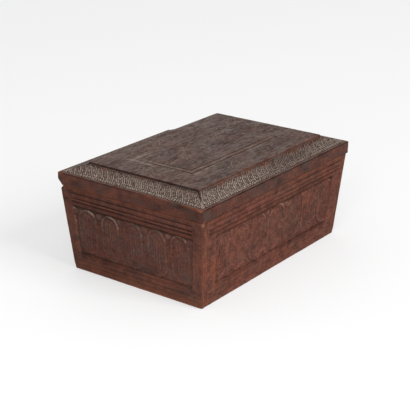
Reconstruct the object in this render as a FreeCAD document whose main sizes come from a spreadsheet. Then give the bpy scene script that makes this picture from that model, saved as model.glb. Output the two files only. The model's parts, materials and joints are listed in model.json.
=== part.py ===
import FreeCAD, Part
import math
import os

import Sketcher
from FreeCAD import Placement, Rotation, Vector

# Carved wooden box for papers and keepsakes, with sides that lean outwards and a hinged, panelled lid.
# Millimetres. X runs along the front, Y from front to back, Z up. The origin is the middle of the underside.

SIZES = [
    # Outline of the lid and of the box under it
    ("lid_length", 320, "lid, left to right"),
    ("lid_depth", 223, "lid, front to back"),
    ("lid_overhang", 1.5, "lid beyond the rim, on each side"),
    ("lid_gap", 0.3, "rim to the underside of the lid"),
    ("box_height", 113, "underside to rim"),
    ("base_inset", 10, "each side leans in this far from rim to base"),
    # Side boards and bottom
    ("wall", 14, "side boards, measured level"),
    ("corner_rebate", 3, "end boards, cut back to take the front and back boards"),
    ("bottom_thickness", 9, "bottom board"),
    ("bottom_rebate", 7, "bottom board let into the sides, measured at the base"),
    ("bottom_gap", 0.1, "bottom board to its rebate"),
    ("peg_side", 3, "square pegs that hold the bottom, across the flats"),
    ("peg_length", 20, "pegs"),
    ("peg_gap", 0.05, "peg to its hole, all round"),
    ("peg_spacing", 80, "pegs along each side"),
    # Carving on the four sides
    ("stile_width", 14, "plain border at each end of a carved side"),
    ("field_top", 23, "rim down to the carved field"),
    ("field_bottom", 25, "base up to the carved field"),
    ("field_depth", 2.5, "ground of the carved field below the face"),
    ("front_petals", 7, "petals on the front and on the back"),
    ("end_petals", 5, "petals on each end"),
    ("front_tuck", 11.5, "outer petals of the front and back run in behind the stiles"),
    ("end_tuck", 1.3, "outer petals of each end run in behind the stiles"),
    ("petal_gap", 1.5, "between neighbouring petals"),
    ("petal_head_gap", 2, "top of a petal to the top of the field"),
    ("petal_rim", 3, "raised border of a petal"),
    ("petal_hollow", 1.2, "depth of the hollow inside the border"),
    ("reed_count", 3, "grooves in each run of reeding"),
    ("reed_pitch", 6, "groove to groove"),
    ("reed_width", 3, "groove at the face"),
    ("reed_depth", 1.5, "groove under the rim"),
    ("plinth_reed_depth", 0.8, "groove near the base"),
    ("reed_top", 5.5, "rim down to the first groove"),
    ("reed_bottom", 8.5, "base up to the first groove"),
    # Lid
    ("fascia_height", 16.5, "upright edge of the lid"),
    ("band_width", 26.5, "sloping band round the panel"),
    ("band_rise", 9.2, "rise of the band from fascia to panel"),
    ("seat_height", 15.4, "underside of the lid up to the seat of the panel"),
    ("seat_width", 8, "seat of the panel"),
    ("panel_thickness", 12, "raised panel"),
    ("panel_gap", 0.2, "panel to the rails, all round"),
    ("panel_chamfer", 1, "worn upper edge of the panel"),
    ("line_inset", 41, "edge of the panel to the outer incised line"),
    ("line_spacing", 8, "outer incised line to inner one"),
    ("line_width", 2, "incised line"),
    ("line_depth", 1.2, "incised line"),
    # Hinges
    ("hinge_end", 63.5, "end of the rim to the middle of a hinge"),
    ("hinge_length", 40, "hinge along its pin"),
    ("hinge_inset", 5, "back of the rim to the middle of the pin"),
    ("knuckle_diameter", 4.8, "barrel of the hinge"),
    ("knuckle_gap", 0.2, "between neighbouring knuckles"),
    ("barrel_gap", 0.4, "barrel to the wood and to the other leaf"),
    ("hinge_pin_diameter", 2.4, "hinge pin"),
    ("hinge_pin_gap", 0.05, "hinge pin to its bore, all round"),
    ("leaf_thickness", 1.1, "hinge leaf"),
    ("leaf_edge", 1, "hinge leaf to the inner face of the back board"),
    ("leaf_gap", 0.1, "end of a leaf to the end of its recess"),
    ("open_angle", 95, "lid fully open, degrees"),
    ("stop_angle", 2, "left between the stop bevels when fully open, degrees"),
    ("screw_diameter", 2, "hinge screws, shank"),
    ("screw_head", 3.6, "hinge screws, countersunk head"),
    ("screw_length", 9, "hinge screws"),
    ("screw_gap", 0.05, "screw to its hole, all round"),
    ("screw_spacing", 22, "between the two screws of a leaf"),
]

# Sizes that follow from the driving ones

RIM_X = "(dim.lid_length / 2 - dim.lid_overhang)"
RIM_Y = "(dim.lid_depth / 2 - dim.lid_overhang)"
LEAN = "(dim.base_inset / dim.box_height)"
LEAN_ANGLE = "atan(dim.base_inset / dim.box_height)"
LAP = "(dim.wall - dim.corner_rebate)"
BOTTOM_X = f"({RIM_X} - dim.base_inset - dim.wall + dim.bottom_rebate)"
BOTTOM_Y = f"({RIM_Y} - dim.base_inset - dim.wall + dim.bottom_rebate)"
PEG_X = f"({BOTTOM_X} - dim.bottom_rebate / 2)"
PEG_Y = f"({BOTTOM_Y} - dim.bottom_rebate / 2)"
LID_Z = "(dim.box_height + dim.lid_gap)"
LID_X = "(dim.lid_length / 2)"
LID_Y = "(dim.lid_depth / 2)"
RAIL_WIDTH = "(dim.band_width + dim.seat_width)"
BEVEL = "tan((dim.open_angle + dim.stop_angle) / 2)"
AXIS_Y = f"({RIM_Y} - dim.hinge_inset)"
AXIS_Z = "(dim.box_height + dim.lid_gap / 2)"
HINGE_X = f"({RIM_X} - dim.hinge_end)"
KNUCKLE_COUNT = 3
KNUCKLE = f"(dim.hinge_length / {KNUCKLE_COUNT})"
BARREL_ROOM = "(dim.knuckle_diameter / 2 + dim.barrel_gap)"
LEAF_REACH = "(dim.wall - dim.hinge_inset - dim.leaf_edge)"
SCREW_REACH = f"(({LEAF_REACH} + dim.knuckle_diameter / 2) / 2)"

# Which way each side faces: turn about Z that brings a board drawn at the front to its place

FRONT = 0
BACK = 180
LEFT = -90
RIGHT = 90

doc = FreeCAD.newDocument("wooden_box")
sheet = doc.addObject("Spreadsheet::Sheet", "dim")
for row, (name, value, meaning) in enumerate(SIZES, start=1):
    sheet.set(f"A{row}", name)
    sheet.set(f"B{row}", str(value))
    sheet.set(f"C{row}", meaning)
    sheet.setAlias(f"B{row}", name)
doc.recompute()

nodes = []


def number(expression):
    result = sheet.evalExpression(expression)
    return float(getattr(result, "Value", result))


def new_body(label, turn=FRONT):
    body = doc.addObject("PartDesign::Body", label)
    body.Label = label
    body.Placement = Placement(Vector(0, 0, 0), Rotation(Vector(0, 0, 1), turn))
    nodes.append(body)
    return body


def plane(body, role):
    return next(item for item in body.Origin.OriginFeatures if item.Role == role)


def new_sketch(body, role, lift=None):
    sketch = body.newObject("Sketcher::SketchObject", "sketch")
    sketch.AttachmentSupport = [(plane(body, role), "")]
    sketch.MapMode = "FlatFace"
    if lift:
        sketch.setExpression("AttachmentOffset.Base.z", lift)
    return sketch


def face_sketch(body, base_reach):
    """A sketch on the leaning outer face of a side; its own Y runs up the face from the base."""
    sketch = new_sketch(body, "XZ_Plane")
    sketch.AttachmentOffset = Placement(Vector(0, 0, 1), Rotation(Vector(1, 0, 0), 1))
    sketch.setExpression("AttachmentOffset.Base.z", base_reach)
    sketch.setExpression("AttachmentOffset.Rotation.Angle", LEAN_ANGLE)
    return sketch


def bind(sketch, constraint, expression):
    index = sketch.addConstraint(constraint)
    sketch.setExpression(f"Constraints[{index}]", expression)


def pin_point(sketch, geometry, point, across, upward):
    bind(sketch, Sketcher.Constraint("DistanceX", -1, 1, geometry, point, number(across)), across)
    bind(sketch, Sketcher.Constraint("DistanceY", -1, 1, geometry, point, number(upward)), upward)


def outline(sketch, corners):
    """A closed outline of straight edges through corners given as expressions."""
    first = sketch.GeometryCount
    count = len(corners)
    points = [Vector(number(across), number(upward), 0) for across, upward in corners]
    for index in range(count):
        sketch.addGeometry(Part.LineSegment(points[index], points[(index + 1) % count]))
    for index in range(count):
        following = first + (index + 1) % count
        sketch.addConstraint(Sketcher.Constraint("Coincident", first + index, 2, following, 1))
    for index, (across, upward) in enumerate(corners):
        pin_point(sketch, first + index, 1, across, upward)


def rectangle(sketch, left, right, low, high):
    outline(sketch, [(left, low), (right, low), (right, high), (left, high)])


def square(sketch, across, upward, half):
    rectangle(sketch, f"{across} - {half}", f"{across} + {half}", f"{upward} - {half}", f"{upward} + {half}")


def circle(sketch, across, upward, radius):
    middle = Vector(number(across), number(upward), 0)
    index = sketch.addGeometry(Part.Circle(middle, Vector(0, 0, 1), number(radius)))
    pin_point(sketch, index, 3, across, upward)
    bind(sketch, Sketcher.Constraint("Radius", index, number(radius)), radius)


def round_headed(sketch, middle, foot, springing, radius):
    """A petal's outline: upright sides from its foot to the springing, and a half-round head."""
    left = Vector(number(f"{middle} - {radius}"), number(foot), 0)
    right = Vector(number(f"{middle} + {radius}"), number(foot), 0)
    shoulder = number(springing)
    centre = Vector(number(middle), shoulder, 0)
    head = Part.Circle(centre, Vector(0, 0, 1), number(radius))
    base = sketch.addGeometry(Part.LineSegment(left, right))
    right_side = sketch.addGeometry(Part.LineSegment(right, Vector(right.x, shoulder, 0)))
    arc = sketch.addGeometry(Part.ArcOfCircle(head, 0, math.pi))
    left_side = sketch.addGeometry(Part.LineSegment(Vector(left.x, shoulder, 0), left))
    for edge, following in ((base, right_side), (right_side, arc), (arc, left_side), (left_side, base)):
        sketch.addConstraint(Sketcher.Constraint("Coincident", edge, 2, following, 1))
    sketch.addConstraint(Sketcher.Constraint("Vertical", right_side))
    pin_point(sketch, arc, 3, middle, springing)
    pin_point(sketch, base, 1, f"{middle} - {radius}", foot)
    pin_point(sketch, base, 2, f"{middle} + {radius}", foot)
    for arc_end in (1, 2):
        bind(sketch, Sketcher.Constraint("DistanceY", -1, 1, arc, arc_end, shoulder), springing)


def pad(body, sketch, length, side="One side", reverse=False):
    feature = body.newObject("PartDesign::Pad", "pad")
    feature.Profile = sketch
    feature.setExpression("Length", length)
    feature.SideType = side
    feature.Reversed = reverse
    doc.recompute()
    return feature


def pocket(body, sketch, length=None, side="One side", reverse=False):
    """A cut to a depth, or right through where no depth is given; it has to take something away."""
    before = body.Shape.Volume
    feature = body.newObject("PartDesign::Pocket", "pocket")
    feature.Profile = sketch
    if length:
        feature.setExpression("Length", length)
    else:
        feature.Type = "ThroughAll"
    feature.SideType = side
    feature.Reversed = reverse
    doc.recompute()
    if not body.Shape.Volume < before:
        raise RuntimeError(f"a cut in {body.Label} takes nothing away")
    return feature


def pattern(body, features, sketch, axis, length, occurrences, reverse=False):
    feature = body.newObject("PartDesign::LinearPattern", "row")
    feature.Originals = features
    feature.Direction = (sketch, [axis])
    feature.setExpression("Length", length)
    feature.setExpression("Occurrences", occurrences)
    feature.Reversed = reverse
    body.Tip = feature
    doc.recompute()
    return feature


def mirror(body, features):
    feature = body.newObject("PartDesign::Mirrored", "mirror")
    feature.Originals = features
    feature.MirrorPlane = (plane(body, "YZ_Plane"), [""])
    body.Tip = feature
    doc.recompute()
    return feature


# Side boards of the box


def leaning_slab(body, base_reach, outer_cut, thickness, rim_half):
    """A board that leans outwards, drawn at the front, with ends that lean by the same amount."""
    section = new_sketch(body, "YZ_Plane")
    near = f"{outer_cut} - {base_reach}"
    far = f"{near} + {thickness}"
    top = "dim.box_height"
    lean_out = "dim.base_inset"
    outline(section, [(near, "0"), (f"{near} - {lean_out}", top), (f"{far} - {lean_out}", top), (far, "0")])
    pad(body, section, f"2 * {rim_half}", "Symmetric")
    ends = new_sketch(body, "XZ_Plane")
    foot = f"({rim_half} - {lean_out})"
    outline(ends, [(foot, "0"), (rim_half, top), (rim_half, "0")])
    outline(ends, [(f"-{foot}", "0"), (f"-{rim_half}", "0"), (f"-{rim_half}", top)])
    pocket(body, ends, side="Symmetric")


def seat_bottom(body, half_along, half_across, pegs, peg_across):
    """The rebate for the bottom board and the holes of its pegs."""
    seat = new_sketch(body, "XY_Plane")
    along = f"({half_along} + dim.bottom_gap)"
    across = f"({half_across} + dim.bottom_gap)"
    rectangle(seat, f"-{along}", along, f"-{across}", "0")
    pocket(body, seat, "dim.bottom_thickness", reverse=True)
    holes = new_sketch(body, "XY_Plane")
    for peg_along in pegs:
        square(holes, peg_along, f"-{peg_across}", "(dim.peg_side / 2 + dim.peg_gap)")
    pocket(body, holes, "dim.peg_length + dim.peg_gap", reverse=True)


def up_face(height):
    return f"({height}) / cos({LEAN_ANGLE})"


def reeds(body, face, base_reach, first, deep, half_run, downwards):
    """A run of grooves along the board, one profile repeated up or down the face."""
    profile = new_sketch(body, "YZ_Plane")
    half = "dim.reed_width / 2"
    corners = []
    for height, depth in ((f"{first} - {half}", "0"), (f"{first} + {half}", "0"), (first, deep)):
        corners.append((f"{depth} - {base_reach} - {LEAN} * ({height})", height))
    outline(profile, corners)
    groove = pocket(body, profile, f"2 * ({half_run})", "Symmetric")
    reach = "dim.reed_pitch * (dim.reed_count - 1)"
    pattern(body, [groove], face, "V_Axis", reach, "dim.reed_count", downwards)


def carve_side(body, base_reach, rim_half, petals, tuck, reeds_through):
    """A sunk field with a row of round-headed petals, between two runs of reeding and two plain stiles."""
    low = "dim.field_bottom"
    high = "(dim.box_height - dim.field_top)"
    border = f"({rim_half} - dim.stile_width - dim.base_inset)"
    half_low = f"({border} + {LEAN} * {low})"
    half_high = f"({border} + {LEAN} * {high})"

    field = face_sketch(body, base_reach)
    corners = [(half_low, up_face(low)), (half_high, up_face(high))]
    outline(field, corners + [(f"-{across}", upward) for across, upward in reversed(corners)])
    pocket(body, field, "dim.field_depth")

    row = f"(2 * ({half_low} + {tuck}))"
    pitch = f"({row} / {petals})"
    radius = f"({pitch} / 2 - dim.petal_gap / 2)"
    middle = f"({pitch} / 2 - {row} / 2)"
    springing = f"({up_face(high)} - dim.petal_head_gap - {radius})"
    petal = face_sketch(body, base_reach)
    round_headed(petal, middle, f"{up_face(low)} - dim.petal_gap", springing, radius)
    body_of_petal = pad(body, petal, "dim.field_depth", reverse=True)
    hollow = face_sketch(body, base_reach)
    round_headed(hollow, middle, f"{up_face(low)} + dim.petal_rim", springing, f"({radius} - dim.petal_rim)")
    hollow_of_petal = pocket(body, hollow, "dim.petal_hollow")
    pattern(body, [body_of_petal, hollow_of_petal], petal, "H_Axis", f"{row} - {pitch}", petals)

    stiles = face_sketch(body, base_reach)
    for sign in ("", "-"):
        inner = [(f"{sign}{across}", upward) for across, upward in corners]
        outer = [(f"{sign}({across} + {tuck})", upward) for across, upward in reversed(corners)]
        outline(stiles, inner + outer)
    pad(body, stiles, "dim.field_depth", reverse=True)

    upper_run, lower_run = (rim_half, rim_half) if reeds_through else (half_high, half_low)
    reeds(body, field, base_reach, "(dim.box_height - dim.reed_top)", "dim.reed_depth", upper_run, True)
    reeds(body, field, base_reach, "dim.reed_bottom", "dim.plinth_reed_depth", lower_run, False)


def stop_bevel(body, role, sign, back_reach, level, width, direction):
    """The bevel along the back edge that lets the lid swing open and then stops it."""
    bevel = new_sketch(body, role)
    edge = f"{sign} * {back_reach}"
    corners = [(f"{sign} * ({back_reach} - {width})", level), (edge, level)]
    outline(bevel, corners + [(edge, f"{level} {direction} {width} * {BEVEL}")])
    pocket(body, bevel, side="Symmetric")


def long_board(label, turn):
    """Front or back board: its ends stand in the rebates of the end boards."""
    body = new_body(label, turn)
    base_reach = f"({RIM_Y} - dim.base_inset)"
    rim_half = f"({RIM_X} - {LAP})"
    leaning_slab(body, base_reach, "0", "dim.wall", rim_half)
    seat_bottom(body, BOTTOM_X, BOTTOM_Y, ["-dim.peg_spacing", "0", "dim.peg_spacing"], PEG_Y)
    carve_side(body, base_reach, rim_half, "dim.front_petals", "dim.front_tuck", True)
    return body


def end_board(label, turn, back):
    """End board: full depth outside, and cut back inside at both ends to take the long boards."""
    body = new_body(label, turn)
    base_reach = f"({RIM_X} - dim.base_inset)"
    leaning_slab(body, base_reach, LAP, "dim.corner_rebate", f"({RIM_Y} - dim.wall)")
    leaning_slab(body, base_reach, "0", LAP, RIM_Y)
    seat_bottom(body, BOTTOM_Y, BOTTOM_X, ["-dim.peg_spacing / 2", "dim.peg_spacing / 2"], PEG_X)
    stop_bevel(body, "XZ_Plane", back, RIM_Y, "dim.box_height", "dim.hinge_inset", "-")
    carve_side(body, base_reach, RIM_Y, "dim.end_petals", "dim.end_tuck", False)
    return body


def let_in_hinges(body, level, upward):
    """Recesses for both hinges in the back board or the back rail: barrel, leaf and screws."""
    barrel = new_sketch(body, "YZ_Plane", HINGE_X)
    circle(barrel, f"-{AXIS_Y}", AXIS_Z, BARREL_ROOM)
    barrel_cut = pocket(body, barrel, "dim.hinge_length + 2 * dim.barrel_gap", "Symmetric")
    recess = new_sketch(body, "XY_Plane", level)
    half = "(dim.hinge_length / 2 + dim.leaf_gap)"
    rectangle(recess, f"{HINGE_X} - {half}", f"{HINGE_X} + {half}", f"-{AXIS_Y}", f"{LEAF_REACH} - {AXIS_Y}")
    leaf_cut = pocket(body, recess, "dim.leaf_thickness", reverse=upward)
    holes = new_sketch(body, "XY_Plane", level)
    for step in (-0.5, 0.5):
        screw_along = f"{HINGE_X} + {step} * dim.screw_spacing"
        circle(holes, screw_along, f"{SCREW_REACH} - {AXIS_Y}", "dim.screw_diameter / 2 + dim.screw_gap")
    hole_cut = pocket(body, holes, "dim.screw_length + dim.screw_gap", reverse=upward)
    mirror(body, [barrel_cut, leaf_cut, hole_cut])


long_board("front_board", FRONT)
back_board = long_board("back_board", BACK)
stop_bevel(back_board, "YZ_Plane", -1, RIM_Y, "dim.box_height", "dim.hinge_inset", "-")
let_in_hinges(back_board, "dim.box_height", False)
end_board("left_end_board", LEFT, -1)
end_board("right_end_board", RIGHT, 1)

# Bottom board and the pegs that hold it

PEGS = [(f"{step} * dim.peg_spacing", f"{side} * {PEG_Y}") for step in (-1, 0, 1) for side in (-1, 1)]
PEGS += [(f"{side} * {PEG_X}", f"{step} * dim.peg_spacing / 2") for step in (-1, 1) for side in (-1, 1)]

bottom = new_body("bottom_board")
board = new_sketch(bottom, "XY_Plane")
rectangle(board, f"-{BOTTOM_X}", BOTTOM_X, f"-{BOTTOM_Y}", BOTTOM_Y)
for across, upward in PEGS:
    square(board, across, upward, "(dim.peg_side / 2 + dim.peg_gap)")
pad(bottom, board, "dim.bottom_thickness")

pegs = new_body("bottom_pegs")
ends = new_sketch(pegs, "XY_Plane")
for across, upward in PEGS:
    square(ends, across, upward, "dim.peg_side / 2")
pad(pegs, ends, "dim.peg_length")

# Lid: four mitred rails and a raised panel


def rail(label, turn, outer, half_length):
    """One rail: upright fascia, sloping band and the seat of the panel, mitred at both ends."""
    body = new_body(label, turn)
    section = new_sketch(body, "YZ_Plane")
    band = f"dim.band_width - {outer}"
    inner = f"{RAIL_WIDTH} - {outer}"
    seat = f"{LID_Z} + dim.seat_height"
    fascia = f"{LID_Z} + dim.fascia_height"
    corners = [(f"-{outer}", LID_Z), (f"-{outer}", fascia), (band, f"{fascia} + dim.band_rise")]
    outline(section, corners + [(band, seat), (inner, seat), (inner, LID_Z)])
    pad(body, section, f"2 * {half_length}", "Symmetric")
    mitres = new_sketch(body, "XY_Plane")
    for sign in ("", "-"):
        end = f"{sign}{half_length}"
        corner = f"{sign}({half_length} - {RAIL_WIDTH})"
        outline(mitres, [(end, f"-{outer}"), (end, inner), (corner, inner)])
    pocket(body, mitres, reverse=True)
    return body


LID_BEVEL = "(dim.hinge_inset + dim.lid_overhang)"
rail("lid_front_rail", FRONT, LID_Y, LID_X)
back_rail = rail("lid_back_rail", BACK, LID_Y, LID_X)
stop_bevel(back_rail, "YZ_Plane", -1, LID_Y, LID_Z, LID_BEVEL, "+")
let_in_hinges(back_rail, LID_Z, True)
for label, turn, back in (("lid_left_rail", LEFT, -1), ("lid_right_rail", RIGHT, 1)):
    stop_bevel(rail(label, turn, LID_X, LID_Y), "XZ_Plane", back, LID_Y, LID_Z, LID_BEVEL, "+")

panel = new_body("lid_panel")
panel_x = f"({LID_X} - dim.band_width - dim.panel_gap)"
panel_y = f"({LID_Y} - dim.band_width - dim.panel_gap)"
field = new_sketch(panel, "XY_Plane", f"{LID_Z} + dim.seat_height")
rectangle(field, f"-{panel_x}", panel_x, f"-{panel_y}", panel_y)
slab = pad(panel, field, "dim.panel_thickness")
top_face = max(range(len(slab.Shape.Faces)), key=lambda index: slab.Shape.Faces[index].CenterOfMass.z)
chamfer = panel.newObject("PartDesign::Chamfer", "chamfer")
chamfer.Base = (slab, [f"Face{top_face + 1}"])
chamfer.setExpression("Size", "dim.panel_chamfer")
doc.recompute()
lines = new_sketch(panel, "XY_Plane", f"{LID_Z} + dim.seat_height + dim.panel_thickness")
for step in (0, 1):
    for edge in ("0", "dim.line_width"):
        inset = f"(dim.line_inset + {step} * dim.line_spacing + {edge})"
        line_x = f"({panel_x} - {inset})"
        line_y = f"({panel_y} - {inset})"
        rectangle(lines, f"-{line_x}", line_x, f"-{line_y}", line_y)
pocket(panel, lines, "dim.line_depth")

# Hinges: two leaves each, with three knuckles on one pin

BOX_SIDE = -1
LID_SIDE = 1
SCREW_SIDES = 12


def place(body, across, along, upward):
    for axis, expression in (("x", across), ("y", along), ("z", upward)):
        body.setExpression(f"Placement.Base.{axis}", expression)


def countersunk_holes(body, face, sign):
    """The screw holes of a leaf: half a countersunk hole, turned about its axis and repeated."""
    hole = new_sketch(body, "XZ_Plane", SCREW_REACH)
    hole.setExpression("AttachmentOffset.Base.x", "-dim.screw_spacing / 2")
    hole.setExpression("AttachmentOffset.Base.y", face)
    head = "(dim.screw_head / 2 + dim.screw_gap)"
    shank = "(dim.screw_diameter / 2 + dim.screw_gap)"
    under = f"{sign} * dim.leaf_thickness"
    outline(hole, [("0", "0"), (head, "0"), (shank, under), ("0", under)])
    cut = body.newObject("PartDesign::Groove", "countersink")
    cut.Profile = hole
    cut.ReferenceAxis = (hole, ["V_Axis"])
    cut.Angle = 360
    doc.recompute()
    pattern(body, [cut], hole, "H_Axis", "dim.screw_spacing", "2")


def leaf(label, across, sign, notches):
    """One leaf: a plate with knuckles, drawn about the hinge pin, cut away for the other leaf's knuckles."""
    body = new_body(label)
    plate = new_sketch(body, "YZ_Plane")
    face = f"{sign} * dim.lid_gap / 2"
    under = f"{face} + {sign} * dim.leaf_thickness"
    rectangle(plate, "0", f"-{LEAF_REACH}", face, under)
    pad(body, plate, "dim.hinge_length", "Symmetric")
    barrel = new_sketch(body, "YZ_Plane")
    circle(barrel, "0", "0", "dim.knuckle_diameter / 2")
    pad(body, barrel, "dim.hinge_length", "Symmetric")
    for step in notches:
        notch = new_sketch(body, "YZ_Plane", f"{step} * {KNUCKLE}")
        circle(notch, "0", "0", BARREL_ROOM)
        pocket(body, notch, f"{KNUCKLE} + dim.knuckle_gap", "Symmetric")
    bore = new_sketch(body, "YZ_Plane")
    circle(bore, "0", "0", "dim.hinge_pin_diameter / 2 + dim.hinge_pin_gap")
    pocket(body, bore, side="Symmetric")
    countersunk_holes(body, face, sign)
    place(body, across, AXIS_Y, AXIS_Z)


def screw_section(body, level, radius):
    """A section of the first screw: a regular outline with its corners on the screw's circle."""
    sketch = new_sketch(body, "XY_Plane", level)
    corners = []
    for side in range(SCREW_SIDES):
        angle = f"({side} * 360 deg / {SCREW_SIDES})"
        across = f"{HINGE_X} - dim.screw_spacing / 2 + {radius} * cos({angle})"
        corners.append((across, f"{radius} * sin({angle}) - {SCREW_REACH}"))
    outline(sketch, corners)
    return sketch


def screws(label, sign):
    """The screws that hold one side of both hinges: a countersunk head flush with the leaf, and a shank."""
    body = new_body(label)
    face = f"{sign} * dim.lid_gap / 2"
    top = screw_section(body, face, "dim.screw_head / 2")
    neck = screw_section(body, f"{face} + {sign} * dim.leaf_thickness", "dim.screw_diameter / 2")
    head = body.newObject("PartDesign::AdditiveLoft", "head")
    head.Profile = top
    head.Sections = [neck]
    head.Ruled = True
    doc.recompute()
    shank = pad(body, neck, "dim.screw_length - dim.leaf_thickness", reverse=sign < 0)
    several = body.newObject("PartDesign::MultiTransform", "both_hinges")
    several.Originals = [head, shank]
    row = body.newObject("PartDesign::LinearPattern", "row")
    row.Direction = (top, ["H_Axis"])
    row.setExpression("Length", "dim.screw_spacing")
    row.Occurrences = 2
    other = body.newObject("PartDesign::Mirrored", "other")
    other.MirrorPlane = (plane(body, "YZ_Plane"), [""])
    several.Transformations = [row, other]
    body.Tip = several
    place(body, "0", AXIS_Y, AXIS_Z)


for side, across in (("left", f"-{HINGE_X}"), ("right", HINGE_X)):
    leaf(f"{side}_hinge_box_leaf", across, BOX_SIDE, (0,))
    leaf(f"{side}_hinge_lid_leaf", across, LID_SIDE, (-1, 1))
    pin = doc.addObject("Part::Cylinder", f"{side}_hinge_pin")
    pin.Label = f"{side}_hinge_pin"
    pin.Placement = Placement(Vector(0, 0, 0), Rotation(Vector(0, 1, 0), 90))
    pin.setExpression("Radius", "dim.hinge_pin_diameter / 2")
    pin.setExpression("Height", "dim.hinge_length")
    place(pin, f"{across} - dim.hinge_length / 2", AXIS_Y, AXIS_Z)
    nodes.append(pin)
screws("hinge_box_screws", BOX_SIDE)
screws("hinge_lid_screws", LID_SIDE)

# Check every object, then write each piece to its own file

doc.recompute()
for item in doc.Objects:
    if "Invalid" in item.State or "Error" in item.State:
        raise RuntimeError(f"{item.Label} did not build: {item.State}")
for node in nodes:
    if node.Shape.isNull() or not node.Shape.isValid():
        raise RuntimeError(f"{node.Label} has no valid shape")
os.makedirs("parts", exist_ok=True)
for node in nodes:
    node.Shape.exportStep(f"parts/{node.Label}.step")
    print(f"{node.Label}: {len(node.Shape.Solids)} solids, {node.Shape.Volume:.0f} cubic mm")
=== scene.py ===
import json
import math

import bmesh
import bpy
import numpy as np
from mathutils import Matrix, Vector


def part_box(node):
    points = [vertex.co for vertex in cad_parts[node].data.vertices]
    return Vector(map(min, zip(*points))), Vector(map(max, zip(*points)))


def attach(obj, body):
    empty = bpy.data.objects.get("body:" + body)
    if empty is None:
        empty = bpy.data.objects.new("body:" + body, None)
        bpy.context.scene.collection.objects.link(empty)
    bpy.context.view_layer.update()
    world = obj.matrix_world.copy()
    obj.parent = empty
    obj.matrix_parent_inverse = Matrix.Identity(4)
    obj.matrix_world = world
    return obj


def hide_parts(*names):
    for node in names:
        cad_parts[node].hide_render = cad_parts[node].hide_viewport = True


# The looks of a carved wooden box with leaning sides and a hinged, panelled lid.
# Shapes are worked out in millimetres in the frame of the part and written in metres.

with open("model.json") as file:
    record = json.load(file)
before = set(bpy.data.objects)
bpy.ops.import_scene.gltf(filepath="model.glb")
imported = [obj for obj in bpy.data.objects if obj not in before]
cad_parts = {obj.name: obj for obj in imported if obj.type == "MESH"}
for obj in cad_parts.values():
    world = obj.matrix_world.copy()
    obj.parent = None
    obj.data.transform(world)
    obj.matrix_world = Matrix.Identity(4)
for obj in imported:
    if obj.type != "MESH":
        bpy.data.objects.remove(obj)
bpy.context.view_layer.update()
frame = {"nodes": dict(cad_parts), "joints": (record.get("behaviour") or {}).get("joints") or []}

MM = 0.001
CLOSE = 0.01

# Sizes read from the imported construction


def low(node):
    return np.array(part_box(node)[0]) / MM


def high(node):
    return np.array(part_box(node)[1]) / MM


def points_of(node):
    thing = frame["nodes"][node]
    return np.array([thing.matrix_world @ vertex.co for vertex in thing.data.vertices]) / MM


def foot_reach(node, axis):
    """How far a node reaches from the middle, along one axis, where it stands on the floor."""
    points = points_of(node)
    return np.abs(points[points[:, 2] < CLOSE, axis]).max()


def outer_edge_height(node, reach):
    """Height of the highest point of a node's outermost face at the front."""
    points = points_of(node)
    return points[points[:, 1] < CLOSE - reach, 2].max()


# Sizes of the construction that can't be read from its boxes
PANEL_GAP = 0.2
STOP_ANGLE = 2
FIT = 0.1
BARREL_PLAY = 0.4
LEAF_THICKNESS = 1.1
SCREW_SPACING = 22

RIM_X = high("right_end_board")[0]
RIM_Y = -low("front_board")[1]
RIM_Z = high("front_board")[2]
BASE_INSET = RIM_X - foot_reach("right_end_board", 0)
LEAN = BASE_INSET / RIM_Z
LONG_HALF = high("front_board")[0]
LAP = RIM_X - LONG_HALF
WALL = RIM_Y - BASE_INSET + high("front_board")[1]
BOTTOM_X, BOTTOM_Y, BOTTOM_TOP = high("bottom_board")
LID_X, LID_Y, BAND_TOP = high("lid_back_rail")
LID_Z = low("lid_front_rail")[2]
FASCIA_TOP = outer_edge_height("lid_front_rail", LID_Y)
PANEL_X, PANEL_Y, PANEL_TOP = high("lid_panel")
SEAT_Z = low("lid_panel")[2]
BAND_WIDTH = LID_Y - PANEL_Y - PANEL_GAP
RAIL_WIDTH = LID_Y + high("lid_front_rail")[1]
HINGE = frame["joints"][0]
AXIS_Y = HINGE["pos_m"][1] / MM
AXIS_Z = HINGE["pos_m"][2] / MM
BEVEL = math.tan(math.radians((HINGE["range_deg"][1] + STOP_ANGLE) / 2))
HINGE_NEAR = low("right_hinge_box_leaf")[0] - FIT
HINGE_FAR = high("right_hinge_box_leaf")[0] + FIT
LEAF_EDGE = low("right_hinge_box_leaf")[1] - FIT
BARREL_ROOM = high("right_hinge_box_leaf")[2] - AXIS_Z + BARREL_PLAY

# Layout of the carving of the sides

STILE = 14
FIELD_LOW = 23.5
FIELD_HIGH = RIM_Z - 23
FIELD_DEPTH = 2.3
FIELD_EDGE = 1.5
UPPER_REEDS = [RIM_Z - drop for drop in (7.2, 14.0, 18.6)]
LOWER_REEDS = [8.5, 14.5, 20.5]
UPPER_REED_DEPTH = 1.3
LOWER_REED_DEPTH = 0.5
REED_HALF = 1.8
FOOT_LINE = 3.6
FOOT_LINE_DEPTH = 0.25
FOOT_LINE_HALF = 0.9

# Pitch of a side's petals and gap between them, how much wear has left of their heads and feet, and how
# softly the field falls away from the stiles
LONG_CARVING = {"pitch": 39.2, "gap": 0.8, "head": 0.45, "foot": 0.3, "soft": 5}
END_CARVING = {"pitch": 35.8, "gap": 3.2, "head": 0.7, "foot": 0.2, "soft": 2.5}

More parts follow.
